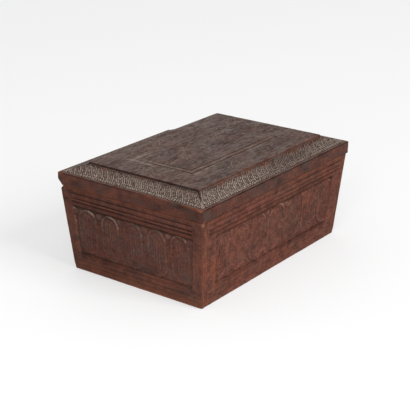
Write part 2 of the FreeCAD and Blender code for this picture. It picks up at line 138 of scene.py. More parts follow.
# Parts of a petal: heights above the field, insets from the petal's outline, and levels
PETAL_LOW = FIELD_LOW + 1.5
PETAL_HIGH = FIELD_HIGH - 2
PETAL_RISE = 0.4
FEET_TO = 54
HEADS_FROM = 80
BORDER_RISE = 1.7
BORDER_INSET = 2.2
BORDER_HALF = 2.4
ARCH_RISE = 0.7
ARCH_INSET = 7.6
ARCH_HALF = 1.8
ARCH_LOW = 44
ARCH_HIGH = 62
PETAL_RIB_RISE = 0.6
PETAL_RIB_PITCH = 4.2
PETAL_RIBS_FROM = 8.6
PETAL_RIBS_FULL = 10.4
BUD_RISE = 1.8
BUD_INSET = 5.5
BUD_HALF_WIDTH = 2.4
BUD_HALF_HEIGHT = 5

# How far the carver's hand strays along and up, and depths of the marks left on the faces
HAND_ALONG = 1.5
HAND_UP = 1.6
TOOL_MARKS = 0.3
PORES = 0.12
WAVES = 0.18

# Layout of the carving of the lid. A side rib has its place between two main ribs and its rise

FRONT_RIB_PITCH = 10.0
END_RIB_PITCH = 8.75
RIB_SWING = 17
RIB_STRAY = 0.06
RIB_START = 8.2
MAIN_RIB_RISE = 0.8
MAIN_RIB_HALF = 0.12
SIDE_RIBS = ((0.33, 0.55), (0.66, 0.5))
SIDE_RIB_HALF = 0.13
BEAD_ROWS = 2
BEAD_START = 4.6
BEAD_STEP = 2.2
BEAD_HALF = 1.5
BEAD_RISE = 0.6
BEAD_JOLT = 0.45
BEADS_PER_RIB = 2.5
BAND_LINE_HALF = 0.7
LINE_INSET = 42
LINE_SPACING = 8
PANEL_LINES = (LINE_INSET, LINE_INSET + LINE_SPACING)
LINE_DEPTH = 1.1
LINE_HALF = 1.2
SCROLL_INSET = 20
SCROLL_PITCH = 40
SCROLL_SWING = 7
STEM_HALF = 1.6
BLOSSOM_SIZE = 7.5
BLOSSOM_SWING = 5.5
BLOSSOM_LOBES = 6
FLOWER_SPACING = 23.4
FLOWER_SIZE = 9
FLOWER_LOBES = 8
LOZENGE_X = 70
LOZENGE_Y = 30
PANEL_SEED = 300

# Turn about Z that brings a board drawn at the front to its place

FRONT, RIGHT, BACK, LEFT = 0, 90, 180, -90

# Number helpers

LATTICE_SIDE = 64


def smooth(start, end, values):
    """0 before start, 1 after end, and an even S between."""
    part = np.clip((values - start) / (end - start), 0, 1)
    return part * part * (3 - 2 * part)


def bump(values, middle, half):
    """A rounded ridge of height 1 about middle, gone at half a width from it."""
    part = np.clip(np.abs(values - middle) / half, 0, 1)
    return (1 - part * part) ** 1.5


def noise(u, v, size, seed):
    """Smooth random values from -1 to 1 over a plane, with lumps about as wide as size."""
    side = LATTICE_SIDE
    lattice = np.random.default_rng(seed).uniform(-1, 1, (side, side))
    across, upward = size if isinstance(size, tuple) else (size, size)
    x, y = np.broadcast_arrays(u / across, v / upward)
    column, row = np.floor(x).astype(int), np.floor(y).astype(int)
    right, up = smooth(0, 1, x - column), smooth(0, 1, y - row)
    column, after = column % side, (column + 1) % side
    row, above = row % side, (row + 1) % side
    lower = lattice[column, row] * (1 - right) + lattice[after, row] * right
    upper = lattice[column, above] * (1 - right) + lattice[after, above] * right
    return lower * (1 - up) + upper * up


def patches(u, v, size, seed, share=0.5):
    """Soft patches from 0 to 1 that cover about the given share of a plane."""
    return np.clip(share + 0.9 * noise(u, v, size, seed), 0, 1)


def ragged_spot(away, u, v, size, seed):
    """1 inside a spot and 0 outside it, with a ragged edge where away is 1."""
    return smooth(1, 0.6, away + 0.5 * noise(u, v, size, seed))


def blurred(values, steps):
    """Moving average over a square of a grid, made twice, with its edges carried on."""
    for axis in (0, 1, 0, 1):
        pad = [(0, 0), (0, 0)]
        pad[axis] = (steps + 1, steps)
        total = np.cumsum(np.pad(values, pad, mode="edge"), axis=axis)
        length = values.shape[axis]
        ahead = np.take(total, np.arange(2 * steps + 1, 2 * steps + 1 + length), axis=axis)
        values = (ahead - np.take(total, np.arange(length), axis=axis)) / (2 * steps + 1)
    return values


def rounded(distance, radius):
    """How far a face falls back within a worn, rounded edge."""
    part = np.clip(1 - distance / radius, 0, 1)
    return radius * (1 - np.sqrt(1 - part * part))


def ridges_and_hollows(depth, steps, reach):
    """How far each point stands above or below its neighbourhood, each from 0 to 1."""
    rise = 1.5 * (blurred(depth, steps) - depth) + 0.5 * (blurred(depth, 4 * steps) - depth)
    return np.clip(rise / reach, 0, 1), np.clip(-rise / reach, 0, 1)


# Relief of a carved side: depth below its face, by distance along from the middle and height


def reeds(z):
    depth = 0
    for levels, deep in ((UPPER_REEDS, UPPER_REED_DEPTH), (LOWER_REEDS, LOWER_REED_DEPTH)):
        for level in levels:
            depth = depth + deep * bump(z, level, REED_HALF)
    return depth


def petals(along, z, half, carving):
    """Round-ended petals in a sunk field: a raised border, an arch inside it, upright ribs and buds."""
    pitch = carving["pitch"]
    gap = carving["gap"]
    head = carving["head"]
    foot = carving["foot"]
    reach = pitch / 2 - gap
    most = math.ceil(half / pitch - 0.5)
    middle = np.clip(np.round(along / pitch), -most, most) * pitch
    across = along - middle
    spine = np.clip(z, PETAL_LOW + reach, PETAL_HIGH - reach)
    inside = reach - np.hypot(across, z - spine)
    kept = foot + (head - foot) * smooth(FEET_TO, HEADS_FROM, z)
    height = -FIELD_DEPTH + PETAL_RISE * smooth(-0.3, 0.7, inside)
    height = height + BORDER_RISE * bump(inside, BORDER_INSET, BORDER_HALF) * kept
    arch = ARCH_RISE * bump(inside, ARCH_INSET, ARCH_HALF)
    height = height + arch * smooth(ARCH_LOW, ARCH_HIGH, z) * head
    ribs = 0.5 + 0.5 * np.cos(2 * np.pi * across / PETAL_RIB_PITCH)
    height = height + PETAL_RIB_RISE * ribs * smooth(PETAL_RIBS_FROM, PETAL_RIBS_FULL, inside)
    apart = np.abs(across) - pitch / 2
    for level, left in ((PETAL_HIGH - BUD_INSET, 1), (PETAL_LOW + BUD_INSET, foot)):
        bud = np.hypot(apart / (BUD_HALF_WIDTH + gap), (z - level) / BUD_HALF_HEIGHT)
        height = height + BUD_RISE * np.clip(1 - bud * bud, 0, 1) * smooth(0.2, -0.5, inside) * left
    return height


def side_relief(along, z, stile_half, reed_half, carving, seed):
    """Depth of the carving over one side, and how far inside its field each point lies."""
    half = stile_half + LEAN * z
    side_edge = half - np.abs(along)
    level_edge = np.minimum(FIELD_HIGH - z, z - FIELD_LOW)
    soft = carving["soft"]
    field = smooth(-0.3 * soft, soft, side_edge) * smooth(0, FIELD_EDGE, level_edge)
    strayed = along + HAND_ALONG * noise(along, z, (27, 41), seed + 5)
    lifted = z + HAND_UP * noise(along, z, (33, 29), seed + 6)
    worn = np.clip(0.8 + 0.5 * noise(along, z, 21, seed), 0.3, 1.1)
    height = petals(strayed, lifted, stile_half + LEAN * FIELD_HIGH, carving)
    depth = field * (FIELD_DEPTH - (height + FIELD_DEPTH) * worn)
    run = smooth(-1, 5, reed_half + LEAN * z - np.abs(along))
    depth = depth + reeds(z) * run * (0.85 + 0.4 * noise(along, z, (31, 5), seed + 1))
    depth = depth + FOOT_LINE_DEPTH * bump(z, FOOT_LINE, FOOT_LINE_HALF) * run
    depth = depth + TOOL_MARKS * noise(along, z, 2.3, seed + 2) * field
    depth = depth + PORES * noise(along, z, 3.3, seed + 3)
    depth = depth + WAVES * noise(along, z, (40, 12), seed + 4)
    return depth, np.minimum(side_edge, level_edge)


# Relief of the lid


def band_relief(along, across, pitch, lean, seed):
    """Leaning ribs, rows of small beads and a plain edge, by distance from the lid's outer edge."""
    stray = RIB_STRAY * noise(along, across, (13, 40), seed)
    inward = np.clip((across - RIB_START) / (BAND_WIDTH - RIB_START), 0, 1)
    swing = lean * RIB_SWING * inward ** 1.5
    place = (along - swing) / pitch + stray

    def rib(shift, width):
        return bump((place + shift) % 1 - 0.5, 0, width)

    between = 0
    for shift, rise in SIDE_RIBS:
        between = between + rise * rib(shift, SIDE_RIB_HALF)
    broken = patches(along, across, (3.2, 2.6), seed + 4, 0.6)
    ribs = MAIN_RIB_RISE * rib(0, MAIN_RIB_HALF) + between * broken
    ribs = ribs * smooth(RIB_START - 0.3, RIB_START + 1, across)
    ribs = ribs * smooth(BAND_WIDTH - 0.3, BAND_WIDTH - 1.8, across)
    ribs = ribs * (0.85 + 0.4 * noise(along, across, 6, seed + 3))
    beads = 0
    for count in range(BEAD_ROWS):
        jolt = BEAD_JOLT * noise(along, across, (7, 4), seed + 5 + count)
        turn = 2 * np.pi * (BEADS_PER_RIB * along / pitch + count / 2 + jolt)
        row = bump(across + jolt, BEAD_START + count * BEAD_STEP, BEAD_HALF)
        beads = beads + BEAD_RISE * smooth(-0.7, 0.8, np.cos(turn)) * row
    lines = 0.35 * bump(across, BEAD_START - 1.8, BAND_LINE_HALF)
    lines = lines + 0.3 * bump(across, RIB_START, BAND_LINE_HALF)
    sunk = smooth(BEAD_START - 2.2, BEAD_START - 1.2, across)
    sunk = sunk * smooth(BAND_WIDTH, BAND_WIDTH - 1, across)
    depth = sunk + lines - ribs - beads
    depth = depth + TOOL_MARKS * noise(along, across, 2.0, seed + 1) * sunk
    return depth + PORES * noise(along, across, 4, seed + 2)


def rosette(across, upward, size, lobes):
    """A worn flower: a round heart and a ring of lobes."""
    away = np.hypot(across, upward)
    turn = np.arctan2(upward, across)
    ring = bump(away, 0.62 * size, 0.42 * size) * (0.45 + 0.55 * np.cos(lobes * turn))
    return np.clip(ring + bump(away, 0, 0.26 * size), 0, 1)


def lines_left(x, y):
    """How much wear has left of the panel's incised lines: less towards the back and the right."""
    return np.clip(1 - np.maximum((y + 20) / 75, (x - 40) / 100), 0.2, 1)


def panel_relief(x, y):
    """Two incised lines, a worn scroll outside them, and flowers and a lozenge inside them."""
    inset = np.minimum(PANEL_X - np.abs(x), PANEL_Y - np.abs(y))
    on_long = PANEL_Y - np.abs(y) < PANEL_X - np.abs(x)
    run = np.where(on_long, x, y)
    depth = 0
    for line in PANEL_LINES:
        depth = depth + LINE_DEPTH * bump(inset, line, LINE_HALF) * lines_left(x, y)
    depth = depth + 0.3 * bump(inset, LINE_INSET - 6, 0.8)
    wave = np.sin(2 * np.pi * run / SCROLL_PITCH)
    stem = bump(inset, SCROLL_INSET + SCROLL_SWING * wave, STEM_HALF)
    bay = np.round(2 * run / SCROLL_PITCH - 0.5) + 0.5
    side = np.sin(np.pi * bay)
    off_line = inset - SCROLL_INSET + BLOSSOM_SWING * side
    blossoms = rosette(run - bay * SCROLL_PITCH / 2, off_line, BLOSSOM_SIZE, BLOSSOM_LOBES)
    scroll = np.clip(0.7 * stem + blossoms, 0, 1)
    scroll = scroll * smooth(LINE_INSET - 7, LINE_INSET - 10, inset) * smooth(3, 6, inset)
    middle = smooth(PANEL_LINES[-1] + 2, PANEL_LINES[-1] + 5, inset)
    column = np.round(x / FLOWER_SPACING)
    row = np.round(y / FLOWER_SPACING)
    off_x = x - column * FLOWER_SPACING
    off_y = y - row * FLOWER_SPACING
    flowers = rosette(off_x, off_y, FLOWER_SIZE, FLOWER_LOBES)
    lozenge = bump(np.abs(x) / LOZENGE_X + np.abs(y) / LOZENGE_Y, 1, 0.08)
    worn = patches(x, y, 34, PANEL_SEED + 5, 0.6)
    depth = depth - (0.4 * scroll + middle * (0.36 * flowers + 0.18 * lozenge)) * worn
    depth = depth + 0.14 * noise(x, y, 2.2, PANEL_SEED + 1)
    depth = depth + 0.16 * noise(x, y, 5.5, PANEL_SEED + 2)
    depth = depth + 0.15 * noise(x, y, 38, PANEL_SEED + 3)
    return depth, inset


# Meshes

SHARP_ANGLE = 50
CRISP = 0.01


def turned(points, turn):
    angle = math.radians(turn)
    x = points[..., 0] * math.cos(angle) - points[..., 1] * math.sin(angle)
    y = points[..., 0] * math.sin(angle) + points[..., 1] * math.cos(angle)
    return np.stack([x, y, points[..., 2]], -1)


def add_object(name, data):
    thing = bpy.data.objects.new(name, data)
    bpy.context.scene.collection.objects.link(thing)
    return thing


def make_piece(node, points, faces, masks, body, material):
    """One closed mesh that stands for a node and rides on its body. Its material reads the masks."""
    mesh = bpy.data.meshes.new("carved_" + node)
    mesh.from_pydata((points * MM).tolist(), [], faces)
    for key, values in masks.items():
        mesh.attributes.new(key, "FLOAT", "POINT").data.foreach_set("value", values.astype(np.float32))
    shape = bmesh.new()
    shape.from_mesh(mesh)
    bmesh.ops.recalc_face_normals(shape, faces=shape.faces)
    shape.to_mesh(mesh)
    shape.free()
    mesh.shade_smooth()
    mesh.set_sharp_from_angle(angle=math.radians(SHARP_ANGLE))
    mesh.materials.append(material)
    piece = add_object("carved_" + node, mesh)
    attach(piece, body)
    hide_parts(node)


def skin(rings):
    """Quads between closed rings, and one cap at each end."""
    stations, around = rings.shape[:2]
    index = np.arange(stations * around).reshape(stations, around)
    after = np.roll(index, -1, axis=1)
    quads = np.stack([index[:-1], after[:-1], after[1:], index[1:]], -1).reshape(-1, 4).tolist()
    return quads + [index[0][::-1].tolist(), index[-1].tolist()]


def padded_masks(masks, count):
    """Masks of the carved points of each ring, followed by none for its plain points."""
    plain = {key: np.zeros((len(values), count)) for key, values in masks.items()}
    return {key: np.concatenate([values, plain[key]], 1).ravel() for key, values in masks.items()}


def with_steps(values, steps, crisp=CRISP):
    """Values in order, with a close pair about each step, so that the step comes out crisp."""
    pairs = [step + side * crisp for step in steps for side in (-1, 1)]
    return np.sort(np.concatenate([values, pairs]))


# Room for the hinges


def hinge_ends(half):
    """Where the hinges end along a back board or rail, as shares of its half length."""
    return [side * end / half for side in (-1, 1) for end in (HINGE_NEAR, HINGE_FAR)]


def at_hinge(along):
    return (np.abs(along) > HINGE_NEAR) & (np.abs(along) < HINGE_FAR)


def hinge_notch(z):
    """Reach of the back board at a hinge: the recess of the leaf and, under it, room for the barrel."""
    drop = np.clip(AXIS_Z - z, 0, BARREL_ROOM)
    barrel = AXIS_Y - np.sqrt(BARREL_ROOM ** 2 - drop ** 2)
    below = np.where(z > AXIS_Z - BARREL_ROOM, barrel, RIM_Y)
    return np.where(z > RIM_Z - LEAF_THICKNESS, LEAF_EDGE, below)


def hinge_roof(y):
    """Height of the back rail's underside at a hinge: the recess of the leaf and room for the barrel."""
    away = np.clip(np.abs(y - AXIS_Y), 0, BARREL_ROOM)
    leaf = np.where(y > LEAF_EDGE, LID_Z + LEAF_THICKNESS, LID_Z)
    barrel = AXIS_Z + np.sqrt(BARREL_ROOM ** 2 - away ** 2) * (away < BARREL_ROOM)
    return np.maximum(leaf * (y < AXIS_Y), barrel)


def bevelled(reach, z):
    """Reach of the back, cut back by the stop bevel along its upper edge."""
    return np.minimum(reach, AXIS_Y + (RIM_Z - z) / BEVEL)


# Side boards

HEIGHT_STEPS = 200
LONG_STEPS = 470
END_STEPS = 440
STRIP_STEPS = 14
RIM_ARRIS = 1.0
FOOT_ARRIS = 1.4
CORNER_ARRIS = 1.1
CORNER_FOOT_ARRIS = 1.8
CORNER_FOOT_HEIGHT = 9
CORNER_CHIP = 4
CORNER_CHIP_DROP = 2
EDGE_WEAR = 2.2
SIDE_LIGHT = 0.45
STEEP_SLOPE = 0.8
HOLLOW_DIRT = 0.35

# Heights between which the marks on a side come in
FRAME_WEAR = (FIELD_HIGH, 60)
PLINTH_WEAR = (18, 8)
GRIME_ABOVE_FOOT = (6, 15)
CREST_HIGHLIGHTS = (52, 74)

# Strength of the marks on a side: wear of the rim, the corners, the frame and the plinth; dirt in the
# upper hollows and under the lower reeds; painted shade on faces that look down; pale crests of petals of
# the given pitch, painted as highlights; fading; and painted shade towards the end away from the camera's
# near corner
LONG_TONE = {
    "rim": 0.8, "corner": 0.2, "frame": 0.3, "plinth": 0,
    "reed": 0.35, "lower": 0.1, "under": 0.3,
    "crest_highlight": 0.75, "pitch": LONG_CARVING["pitch"],
    "faded_and_sheen": 0.1, "far": (1, 0.12),
}
END_TONE = {
    "rim": 0.4, "corner": 0.3, "frame": 0.1, "plinth": 0.14,
    "reed": 0.75, "lower": 0.26, "under": 0.2,
    "crest_highlight": 1.3, "pitch": END_CARVING["pitch"],
    "faded_and_sheen": 0.36, "far": (-1, 0.2),
}


def board_levels():
    """Heights of the rings of a side board, and which of them lie in the rebate of the bottom."""
    levels = np.linspace(0, RIM_Z, HEIGHT_STEPS + 1)
    levels = with_steps(levels, [BOTTOM_TOP, RIM_Z - LEAF_THICKNESS])[:, None]
    return levels, levels < BOTTOM_TOP


def rounded_ends(z):
    """How far a side falls back at its rim and at its foot."""
    return rounded(RIM_Z - z, RIM_ARRIS) + rounded(z, FOOT_ARRIS)


def lit_slopes(depth, along, z):
    """How far each point's face leans up and to the right, from -1 to 1."""
    rise = np.gradient(depth, axis=0) / np.gradient(z, axis=0)
    side = np.gradient(depth, axis=1) / np.gradient(along, axis=1)
    return np.clip(blurred(rise + SIDE_LIGHT * side, 1) / STEEP_SLOPE, -1, 1)


def side_masks(depth, edge, along, z, half, tone, seed):
    """Worn edges and dirty hollows of a carved side, with painted shade and pale crests painted as
    highlights.
    """
    ridge, hollow = ridges_and_hollows(depth, 2, 0.9)
    lit = lit_slopes(depth, along, z)
    field = smooth(0, FIELD_EDGE, edge)
    upper = smooth(FIELD_HIGH - 1, FIELD_HIGH + 2, z)

    def broken(size, step, share):
        """Patches that break up a mark."""
        return patches(along, z, size, seed + step, share)

    rim = tone["rim"] * bump(z, RIM_Z - 0.9, 1.6) * broken((33, 9), 0, 0.6)
    foot = 0.8 * bump(z, 0, EDGE_WEAR) * broken((17, 9), 1, 0.55)
    ends = tone["corner"] * bump(half - np.abs(along), 0, EDGE_WEAR) * broken((9, 19), 2, 0.4)
    left_side = smooth(-0.6, -0.9, along / half) * broken((9, 25), 3, 0.4)
    frame_edge = tone["frame"] * left_side * bump(edge, -1, 8) * smooth(*FRAME_WEAR, z)
    rubbed = 0.3 * ridge * (1 - field) * broken((35, 11), 4, 0.45)
    plinth = tone["plinth"] * smooth(*PLINTH_WEAR, z)
    wear = np.clip(rim + foot + ends + frame_edge + plinth + rubbed, 0, 1)

    framed = smooth(-1, 2, half - STILE - np.abs(along))
    line = 0.42 * bump(z, FIELD_LOW, 2.6) * framed * broken((23, 9), 8, 0.8)
    line = line + 0.26 * bump(z, FIELD_HIGH + 2.2, 3.2) * framed
    for level in LOWER_REEDS:
        line = line + tone["lower"] * bump(z, level - 1, 1.8)
    # Painted shadow that the upper edge of the sunk field casts on the top of the field
    shade = 0.45 * bump(z, FIELD_HIGH - 1.5, 4.5) * field
    far_side, far_shade = tone["far"]
    # Patches of grime, and a darkening above the field that is partly painted shade under the lid's
    # overhang
    grime_and_shade = (0.22 * broken((8, 6), 7, 0.15) + 0.14 * upper) * smooth(*GRIME_ABOVE_FOOT, z)
    # Painted shade that grows towards the end away from the near corner, where the light falls off
    grime_and_shade = grime_and_shade + far_shade * smooth(-0.9, 0.9, far_side * along / half)
    # Painted shade on faces that look down and to the left, away from a light from the upper right
    under = tone["under"] * np.clip(-lit, 0, 1) * field
    dirt_and_shade = hollow * (HOLLOW_DIRT + (tone["reed"] - HOLLOW_DIRT) * upper)
    dirt_and_shade = np.clip(dirt_and_shade + line + shade + grime_and_shade + under, 0, 1)

    # Painted highlights: pale crests on slopes that face a light from the upper right, mostly on the
    # right shoulders of the petals
    across = along - np.round(along / tone["pitch"]) * tone["pitch"]
    crest_highlight = smooth(0.25, 0.9, lit) * smooth(*CREST_HIGHLIGHTS, z) * broken(13, 5, 0.6)
    crest_highlight = crest_highlight * (0.15 + 0.85 * smooth(-5, 3, across))
    specks = 0.2 * ridge * broken(5, 9, 0.35)
    dust_and_highlight = np.clip(tone["crest_highlight"] * crest_highlight + specks, 0, 1) * field
    return {"wear": wear, "dirt_and_shade": dirt_and_shade, "dust_and_highlight": dust_and_highlight, "faded_and_sheen": tone["faded_and_sheen"] * (0.6 + 0.4 * field)}


def corner_chip(inward, z, seed):
    """A pale chip at the top of a corner, by distance from the corner."""
    away = np.hypot(inward / CORNER_CHIP, (RIM_Z - CORNER_CHIP_DROP - z) / CORNER_CHIP)
    return ragged_spot(away, inward, z, 1.8, seed + 9)


def long_board(node, turn, seed, material):
    """Front or back board, made of level rings: its carved face, its ends and its inner face."""
    z, seat = board_levels()
    reach = RIM_Y - BASE_INSET + LEAN * z
    base_half = LONG_HALF - BASE_INSET
    half = base_half + LEAN * z
    share = np.linspace(-1, 1, LONG_STEPS + 1)
    if turn == BACK:
        share = with_steps(share, hinge_ends(LONG_HALF), CRISP / LONG_HALF)
    along = share[None, :] * half
    depth, edge = side_relief(along, z, base_half - STILE, base_half, LONG_CARVING, seed)
    depth = depth + rounded_ends(z)
    shown = reach - depth
    if turn == BACK:
        notch = np.where(at_hinge(share[None, :] * LONG_HALF), hinge_notch(z), RIM_Y)
        shown = np.minimum(bevelled(shown, z), notch)
    face = np.stack([along, -shown, np.broadcast_to(z, along.shape)], -1)
    inner = np.where(seat, reach - BOTTOM_Y - FIT, WALL)
    ends = [np.concatenate([sign * half, inner - reach, z], 1) for sign in (1, -1)]
    rings = np.concatenate([face, np.stack(ends, 1)], 1)
    masks = padded_masks(side_masks(depth, edge, along, z, half, LONG_TONE, seed + 10), len(ends))
    points = turned(rings, turn).reshape(-1, 3)
    make_piece(node, points, skin(rings), masks, "box", material)


def end_board(node, turn, seed, chip, material):
    """End board: its carved face, its two edges, which show at the corners, and its stepped inside."""
    z, seat = board_levels()
    reach = RIM_X - BASE_INSET + LEAN * z
    half = RIM_Y - BASE_INSET + LEAN * z
    back = bevelled(half, z)
    left_end, right_end = (back, half) if turn == LEFT else (half, back)
    share = np.linspace(-1, 1, END_STEPS + 1)[None, :]
    along = np.where(share < 0, share * left_end, share * right_end)
    stile_half = RIM_Y - BASE_INSET - STILE
    arris = CORNER_ARRIS + CORNER_FOOT_ARRIS * bump(z, 0, CORNER_FOOT_HEIGHT)
    depth, edge = side_relief(along, z, stile_half, stile_half, END_CARVING, seed)
    depth = depth + rounded_ends(z) + rounded(half - np.abs(along), arris)
    face = np.stack([along, depth - reach, np.broadcast_to(z, along.shape)], -1)
    masks = side_masks(depth, edge, along, z, half, END_TONE, seed + 10)
    bare_corner = chip * corner_chip(half - along, z, seed)
    masks["dust_and_highlight"] = np.maximum(masks["dust_and_highlight"], 0.5 * bare_corner)
    masks["wear"] = np.maximum(masks["wear"], 0.8 * bare_corner)

    strip = np.linspace(0, LAP, STRIP_STEPS + 1)[None, 1:]
    edges = []
    edge_masks = []
    for sign, end in ((1, right_end), (-1, left_end)):
        fall = 0.14 * noise(strip, z, (1.7, 14), seed + 5) + rounded(strip, arris) + rounded_ends(z)
        side = np.stack([sign * (end - fall), strip - reach, np.broadcast_to(z, fall.shape)], -1)
        edges.append(side[:, ::sign])
        streaks = patches(strip, z, (2.4, 45), seed + 6 + sign, 0.3)
        stains = patches(strip, z, (2.8, 30), seed + 8 + sign, 0.2)
        pale = chip * corner_chip(strip, z, seed) * (sign > 0)
        bare_wood = np.maximum(0.18 * streaks, 0.8 * pale)
        strip_masks = {"wear": bare_wood, "dirt_and_shade": 0.45 * stains, "dust_and_highlight": 0.5 * pale}
        edge_masks.append({key: values[:, ::sign] for key, values in strip_masks.items()})

    cheek = np.where(seat, BOTTOM_Y + FIT, half - WALL)
    inner = np.where(seat, reach - BOTTOM_X - FIT, WALL)
    lap = np.full_like(inner, LAP)
    steps = []
    for sign, inward in ((1, lap), (1, inner), (-1, inner), (-1, lap)):
        steps.append(np.concatenate([sign * cheek, inward - reach, z], 1)[:, None, :])
    rings = np.concatenate([face, edges[0], *steps, edges[1]], 1)
    none = np.zeros((len(z), len(steps)))
    bare = np.zeros((len(z), STRIP_STEPS))
    for key, values in masks.items():
        near, far = [strip_masks.get(key, bare) for strip_masks in edge_masks]
        masks[key] = np.concatenate([values, near, none, far], 1).ravel()
    points = turned(rings, turn).reshape(-1, 3)
    make_piece(node, points, skin(rings), masks, "box", material)


# Lid rails

RAIL_STEP = 0.42
FASCIA_STEPS = 36
BAND_STEPS = 66
BARREL_STEPS = 9
BARREL_ARC = 130
FASCIA_LOW_ARRIS = 1.1
FASCIA_TOP_ARRIS = 0.9
BAND_ARRIS = 0.7
MITRE_ARRIS = 1.6
CHIP_HEIGHT = 2.4
CHIP_DEPTH = 0.5
WORN_FROM = 58
WORN_BLEND = 2
WORN_WIDTH = 16
WORN_DEPTH = 4.2
FRONT_LOW_WEAR = 0.1
OTHER_LOW_WEAR = 0.8


def worn_back_edge(points):
    """How far the lid's upper back edge is worn down, which shows as a kink in the photo's outline."""
    along = smooth(WORN_FROM - WORN_BLEND, WORN_FROM + WORN_BLEND, points[..., 0])
    inward = smooth(LID_Y - WORN_WIDTH, LID_Y, points[..., 1])
    upward = np.clip((points[..., 2] - LID_Z) / (FASCIA_TOP - LID_Z), 0, 1)
    return WORN_DEPTH * along * inward * upward


def fascia_fall(run, up, half, chips, seed):
    """How far a fascia falls back from its plane, and where it is chipped."""
    fall = rounded(up - LID_Z, FASCIA_LOW_ARRIS) + rounded(FASCIA_TOP - up, FASCIA_TOP_ARRIS)
    fall = fall + 0.14 * noise(run, up, (45, 9), seed + 7)
    fall = fall + 0.07 * noise(run, up, (14, 1.5), seed + 8)
    chipped = 0 * fall
    for from_end, height, length in chips:
        place = math.copysign(half, from_end) - from_end
        away = np.hypot((run - place) / length, (up - height) / CHIP_HEIGHT)
        chipped = np.maximum(chipped, ragged_spot(away, run, up, 1.6, seed + 10))
    return fall + CHIP_DEPTH * chipped, chipped


def plain_section():
    """Insets and heights of a rail's plain points: the seat of the panel, then the underside."""
    leaf_edge = LID_Y - LEAF_EDGE
    barrel_turn = np.linspace(0, math.radians(BARREL_ARC), BARREL_STEPS)
    barrel = LID_Y - AXIS_Y + BARREL_ROOM * np.cos(barrel_turn)
    under = np.concatenate([[RAIL_WIDTH, leaf_edge + CRISP, leaf_edge - CRISP], barrel])
    return [(BAND_WIDTH, SEAT_Z), (RAIL_WIDTH, SEAT_Z)], [(inset, LID_Z) for inset in under]


def fascia_masks(share, half, up, turn, arris_wear, chipped, seed):
    """Rubbed edges, grime, a painted shadow along the upper edge and fading of a fascia, and the wear
    along its upper edge.
    """
    run = share * half
    corner = bump(half - np.abs(run), 0, 12)
    left_wear, right_wear = arris_wear
    rubbed = left_wear + (right_wear - left_wear) * smooth(-0.2, 0.6, share)
    blots = patches(run, up, (11, 8), seed + 5, 0.25)
    # Grime, and a painted shadow line along the upper edge where it is not rubbed
    grime_and_shade = 0.3 + 0.18 * blots + 0.7 * bump(up, FASCIA_TOP - 0.6, 1.3) * (1 - rubbed)
    top_wear = np.clip(rubbed * patches(run, up, (15, 9), seed + 3) + 0.5 * corner, 0, 1)
    low_share = FRONT_LOW_WEAR if turn == FRONT else OTHER_LOW_WEAR
    low_wear = np.clip(low_share * patches(run, up, (19, 9), seed + 4, 0.5) + 0.4 * corner, 0, 1)
    grime_and_shade = grime_and_shade + (OTHER_LOW_WEAR - low_share) * 0.6 * bump(up, LID_Z, 2.4)
    top_edge = top_wear * bump(up, FASCIA_TOP, 2.3)
    edges = np.clip(top_edge + low_wear * bump(up, LID_Z, 1.8), 0, 1)
    masks = {
        "wear": np.maximum(edges, 0.8 * chipped),
        "dirt_and_shade": grime_and_shade,
        "dust_and_highlight": 0.5 * chipped,
        "faded_and_sheen": 0.2 + 0.5 * blots + 0.4 * bump(up, FASCIA_TOP, 2) * (1 - rubbed),
    }
    return masks, top_edge[:, -1:]


def band_masks(run, half, along, over, band, mitre, turn, top_edge, seed):
    """Dusty crests, dirty hollows and fading with painted sheen of a carved band, with a dark, open
    mitre.
    """
    ridge, hollow = ridges_and_hollows(band, 2, 0.5)
    dusty = (0.85 + 0.25 * noise(along, over, 60, seed + 9)) * smooth(BEAD_START - 3, BEAD_START, over)
    dusty = dusty * (1 - 0.4 * smooth(14, BAND_WIDTH, over))
    if turn in (FRONT, BACK):
        dusty = dusty * (1.45 - 0.75 * smooth(-half, 0.3 * half, run))
    else:
        dusty = dusty * 1.15
    brown = smooth(BAND_WIDTH - 10, BAND_WIDTH - 1, over) * patches(along, over, (19, 9), seed + 11, 0.5)
    under_panel = 0.3 * smooth(BAND_WIDTH - 5, BAND_WIDTH - 1, over)
    open_mitre = bump(mitre, 0, 3.2) * smooth(BAND_WIDTH - 18, BAND_WIDTH - 8, over)
    dusty = dusty * (1 - open_mitre)
    # Grey of fading, partly a painted sheen of the lit top
    faded_and_sheen = smooth(-0.8, 0.8, over) * (0.7 + 0.3 * smooth(2, BEAD_START, over))
    return {
        "wear": bump(over, 0, 1.4) * top_edge + 0.15 * brown,
        "dirt_and_shade": np.clip(0.8 * hollow + 0.85 * open_mitre + under_panel, 0, 1),
        "dust_and_highlight": np.clip((0.75 * ridge + 0.1) * dusty, 0, 1),
        "faded_and_sheen": faded_and_sheen * (1 - 0.4 * brown),
    }


